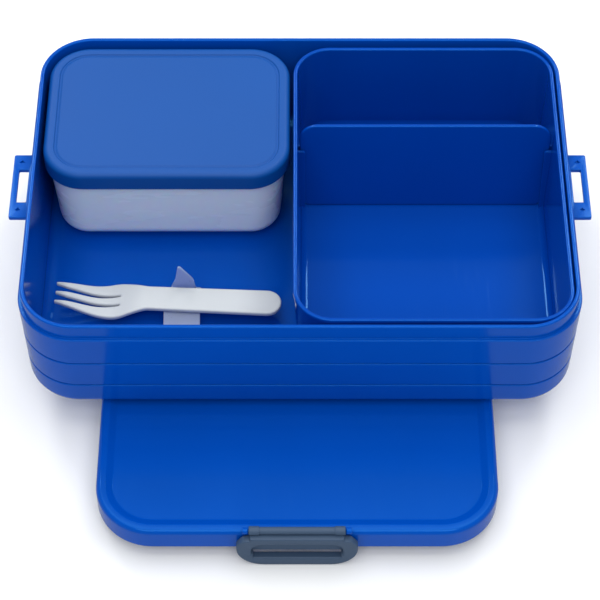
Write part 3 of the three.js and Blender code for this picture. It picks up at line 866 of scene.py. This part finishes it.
class LUNCHBOX_OT_small_box(bpy.types.Operator):
    """Makes the small milky tub and its satin lid"""

    bl_idname = "lunchbox.small_box"
    bl_label = "Small Box and Lid"

    def execute(self, context):
        corner = context.scene.lunch_box_sizes.small_corner / MM
        colours = context.scene.lunch_box_finishes
        width, depth, height = extent("small_box_lid")
        satin = moulded_satin("satin_blue", colours.satin_blue, 0.42)
        shell = drawn_shell(cap_profile(height), width, depth, corner, satin)
        cap = piece("small_lid_cap", [shell], satin, seat("small_box_lid"))
        fitted(cap, "small_box_lid", "small_box_lid")

        white = milky("milk_white", colours.milk_white)
        profile = tub_profile(extent("small_box").z, SMALL_FOOT)
        shell = drawn_shell(profile, width, depth, corner, white)
        inset = 2 * (SMALL_LID_WALL + FIT + SMALL_DRAFT + SMALL_FOOT_INSET)
        ring = drawn_shell(foot_profile(SMALL_FOOT), width - inset, depth - inset, 2.5, white, ring=True)
        tub = piece("small_tub", [shell, ring], white, seat("small_box"))
        fitted(tub, "small_box", "small_box")
        return {"FINISHED"}


# ---- fork and its stand --------------------------------------------------------------------------

FORK_LENGTH = 99.8
FORK_THICKNESS = 2.3
FORK_HANDLE = 13.2
FORK_HEAD = 19.1
FORK_TIPS = 12.6
FORK_SLOT = 2.4
FORK_SLOT_ROOT = 0.8
FORK_NOSE = 5.0
FORK_SLOT_DEPTH = 28.4
FORK_NECK = 41.5
FORK_RISE = 1.0
FORK_DIP = 4.6
FORK_TURN = math.radians(-3)
FORK_SLICE = 1.0
STAND_WIDTH = 16.0
STAND_SHEET = 1.3
STAND_GAP = 0.3
FINGER_HEIGHT = 16.0


def fork_outline():
    """Outline from the tips at x = 0 to the handle's end, with three pointed tines."""
    handle = FORK_HANDLE / 2
    head = FORK_HEAD / 2
    tip = FORK_TIPS / 2
    tine = (FORK_TIPS - 2 * FORK_SLOT) / 3
    end = FORK_LENGTH
    outline = [(FORK_SLOT_DEPTH - 1, -head, 16), (FORK_NECK - 1, -handle + 0.4, 9),
               (end, -handle, 6.4), (end, handle, 6.4),
               (FORK_NECK - 1, handle - 0.4, 9), (FORK_SLOT_DEPTH - 1, head, 16), (FORK_NOSE, tip, 3)]
    for middle in (tine + FORK_SLOT, 0, -tine - FORK_SLOT):
        outline += [(0, middle + 0.8, 0.45), (0, middle - 0.2, 0.45)]
        if middle < 0:
            break
        slot = middle - (tine + FORK_SLOT) / 2
        outline += [(FORK_NOSE, middle - tine / 2, 3),
                    (FORK_SLOT_DEPTH, slot + FORK_SLOT_ROOT / 2, 0.38),
                    (FORK_SLOT_DEPTH, slot - FORK_SLOT_ROOT / 2, 0.38),
                    (FORK_NOSE, slot - FORK_SLOT / 2, 3)]
    outline.append((FORK_NOSE, -tip, 3))
    return rounded(outline, 8, closed=True)


def sliced(mesh, spacing, low, high):
    """Cuts a mesh across X at even steps, so that it can be bent."""
    work = bmesh.new()
    work.from_mesh(mesh)
    for index in range(1, int((high - low) / spacing)):
        geometry = work.verts[:] + work.edges[:] + work.faces[:]
        bmesh.ops.bisect_plane(work, geom=geometry, dist=1e-5, plane_co=(low + index * spacing, 0, 0),
                               plane_no=(1, 0, 0))
    work.to_mesh(mesh)
    work.free()
    return mesh


def bent_fork():
    """The fork with its head dipped below the handle and its tips raised again."""
    flat = flat_plate([fork_outline()], FORK_THICKNESS, 0.75)
    mesh = sliced(flat, FORK_SLICE, 0, FORK_LENGTH)
    moved(mesh, (0, 0, FORK_THICKNESS / 2))
    for vertex in mesh.vertices:
        along = min(max(vertex.co.x / FORK_NECK, 0.0), 1.0)
        vertex.co.z += FORK_RISE * (1 - along) ** 2 - FORK_DIP * math.sin(math.pi * along) ** 2
    return mesh


def stand_band(rise, front, back, foot):
    """The bent strip that carries the handle, seen from its side, with Y to the right."""
    upper = STAND_GAP + STAND_SHEET
    outline = rounded([
        (foot, STAND_GAP, 0.3), (foot + 3, STAND_GAP, 1), (front + 0.6, rise - STAND_SHEET, 1.5),
        (back - STAND_SHEET, rise - STAND_SHEET, 0.8), (back - STAND_SHEET, STAND_GAP, 0.3),
        (back + 4, STAND_GAP, 0.3), (back + 4, upper, 0.3), (back, upper, 0.5), (back, rise, 0.8),
        (front, rise, 2), (foot + 2.2, upper, 1.5), (foot, upper, 0.3)], 5, closed=True)
    band = flat_plate([outline], STAND_WIDTH, 0.25)
    return moved(moved(band, (0, 0, 0), (math.pi / 2, 0, 0)), (0, 0, 0), (0, 0, math.pi / 2))


def stand_finger(rise, back):
    half = STAND_WIDTH / 2 - 2
    low = rise - 2
    middle = low + FINGER_HEIGHT * 0.5
    outline = rounded([(-half, low, 0.5), (half, low, 0.5), (half - 1, middle, 6),
                       (-1.5, low + 2 + FINGER_HEIGHT, 0.8), (-3, middle, 5)], 6, closed=True)
    blade = flat_plate([outline], STAND_SHEET, 0.3)
    return moved(blade, (0, back - STAND_SHEET / 2, 0), (math.pi / 2, 0, 0))


class LUNCHBOX_OT_fork(bpy.types.Operator):
    """Makes the fork and the clear stand under its handle"""

    bl_idname = "lunchbox.fork"
    bl_label = "Fork and Stand"

    def execute(self, context):
        colours = context.scene.lunch_box_finishes
        white = moulded_satin("fork_white", colours.fork_white, 0.35, 0.03)
        low, high = (Vector(point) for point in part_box("fork"))
        length, sweep = FORK_LENGTH, -math.sin(FORK_TURN) * FORK_LENGTH
        end_y = low.y + (FORK_HANDLE / 2) * MM * math.cos(FORK_TURN)
        shape = bent_fork()
        lowest = min(vertex.co.z for vertex in shape.vertices)
        handle_z = low.z - lowest * MM
        tips = Vector((high.x - length * math.cos(FORK_TURN) * MM, end_y + sweep * MM, handle_z))
        fork = piece("table_fork", [shape], white, tips, FORK_TURN)
        fitted(fork, "fork", "fork")

        clear = frosted("clear_frost", colours.frost)
        floor = seat("box_base").z + BOX_FLOOR * MM
        stand_low, stand_high = (Vector(point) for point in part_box("fork_cradle"))
        middle = (stand_low.x + stand_high.x) / 2
        crossing = (tips.y - (middle - tips.x) * math.tan(-FORK_TURN)) / MM
        front = crossing - FORK_HANDLE / 2 + 1
        back = crossing + FORK_HANDLE / 2 + 2
        rise = (handle_z - floor) / MM - STAND_GAP
        band = stand_band(rise, front, back, stand_low.y / MM)
        stand = piece("fork_stand", [band, stand_finger(rise, back)], clear, Vector((middle, 0, floor)))
        fitted(stand, "outer_box", "fork_cradle")
        return {"FINISHED"}


# ---- stage ---------------------------------------------------------------------------------------

CAMERA_PITCH = math.radians(52.32)  # below the horizontal
CAMERA_DISTANCE = 0.9376
CAMERA_DROP = 0.05453  # the aim passes this far below the rim's middle
CAMERA_LENS = 129.3


def area_light(name, place, target, size, power):
    """A square soft light that faces a point."""
    light = bpy.data.lights.new(name, "AREA")
    light.shape = "RECTANGLE"
    light.size, light.size_y = size
    light.energy = power
    obj = linked(name, light)
    obj.location = place
    obj.rotation_euler = (Vector(target) - Vector(place)).to_track_quat("-Z", "Y").to_euler()
    return obj


CAMERA_SENSOR = 36  # millimetres across
FLOOR_REACH = 4.0  # metres from the middle to an edge
FLOOR_COLOUR = (0.92, 0.92, 0.92, 1)
WORLD_COLOUR = (0.9, 0.95, 1.0, 1)
WORLD_STRENGTH = 0.5
LIGHTS = (  # name, then place, aim and size in metres, then watts
    ("overhead", (0.0, 0.15, 1.7), (0, 0.02, 0), (2.0, 1.4), 17),
    ("front_key", (0.0, -1.3, 1.9), (0, 0.0, 0.03), (1.8, 1.0), 19),
    ("back_left", (-0.55, 1.0, 1.15), (0, 0.0, 0.03), (0.35, 0.5), 5),
    ("back_right", (0.55, 1.0, 1.15), (0, 0.0, 0.03), (0.35, 0.5), 5),
)


class LUNCHBOX_OT_stage(bpy.types.Operator):
    """Makes the pale floor, the soft lights and the camera"""

    bl_idname = "lunchbox.stage"
    bl_label = "Stage"

    def execute(self, context):
        floor_mesh = bpy.data.meshes.new("floor")
        turns = ((-1, -1), (1, -1), (1, 1), (-1, 1))
        corners = [(x * FLOOR_REACH, y * FLOOR_REACH, 0) for x, y in turns]
        floor_mesh.from_pydata(corners, [], [(0, 1, 2, 3)])
        floor = linked("floor", floor_mesh)
        paper = Finish("pale_paper")
        paper.set(Base_Color=FLOOR_COLOUR, Roughness=0.9)
        paper.shader.inputs["Specular IOR Level"].default_value = 0.0
        floor_mesh.materials.append(paper.material)
        floor.visible_glossy = False

        world = bpy.data.worlds.new("studio")
        world.use_nodes = True
        background = world.node_tree.nodes["Background"]
        background.inputs["Color"].default_value = WORLD_COLOUR
        background.inputs["Strength"].default_value = WORLD_STRENGTH
        context.scene.world = world

        for settings in LIGHTS:
            area_light(*settings)

        base = Vector(seat("box_base"))
        rim = Vector((base.x, base.y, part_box("box_base")[1][2]))
        up = Vector((0, math.sin(CAMERA_PITCH), math.cos(CAMERA_PITCH)))
        ahead = Vector((0, math.cos(CAMERA_PITCH), -math.sin(CAMERA_PITCH)))
        camera = bpy.data.cameras.new("camera")
        camera.lens = CAMERA_LENS
        camera.sensor_width = CAMERA_SENSOR
        obj = linked("camera", camera)
        obj.location = rim - up * CAMERA_DROP - ahead * CAMERA_DISTANCE
        obj.rotation_euler = (math.pi / 2 - CAMERA_PITCH, 0, 0)
        context.scene.camera = obj
        context.scene.view_settings.view_transform = "Standard"
        return {"FINISHED"}


# ---- panel and registration ----------------------------------------------------------------------

OPERATORS = (
    LUNCHBOX_OT_outer_box,
    LUNCHBOX_OT_lid,
    LUNCHBOX_OT_clips,
    LUNCHBOX_OT_insert,
    LUNCHBOX_OT_small_box,
    LUNCHBOX_OT_fork,
    LUNCHBOX_OT_stage,
)


class LUNCHBOX_PT_panel(bpy.types.Panel):
    """Sizes, colours and pieces of the lunch box"""

    bl_idname = "LUNCHBOX_PT_panel"
    bl_label = "Lunch Box"
    bl_space_type = "VIEW_3D"
    bl_region_type = "UI"
    bl_category = "Lunch Box"

    def draw(self, context):
        for group in (context.scene.lunch_box_sizes, context.scene.lunch_box_finishes):
            box = self.layout.box()
            for name in group.__annotations__:
                box.prop(group, name)
        for operator in OPERATORS:
            self.layout.operator(operator.bl_idname)


CLASSES = (LunchBoxSizes, LunchBoxFinishes, *OPERATORS, LUNCHBOX_PT_panel)


def register():
    for each in CLASSES:
        bpy.utils.register_class(each)
    bpy.types.Scene.lunch_box_sizes = bpy.props.PointerProperty(type=LunchBoxSizes)
    bpy.types.Scene.lunch_box_finishes = bpy.props.PointerProperty(type=LunchBoxFinishes)


def unregister():
    del bpy.types.Scene.lunch_box_finishes
    del bpy.types.Scene.lunch_box_sizes
    for each in reversed(CLASSES):
        bpy.utils.unregister_class(each)


def main():
    register()
    bpy.ops.lunchbox.outer_box()
    bpy.ops.lunchbox.lid()
    bpy.ops.lunchbox.clips()
    bpy.ops.lunchbox.insert()
    bpy.ops.lunchbox.small_box()
    bpy.ops.lunchbox.fork()
    bpy.ops.lunchbox.stage()


if __name__ == "__main__":
    main()
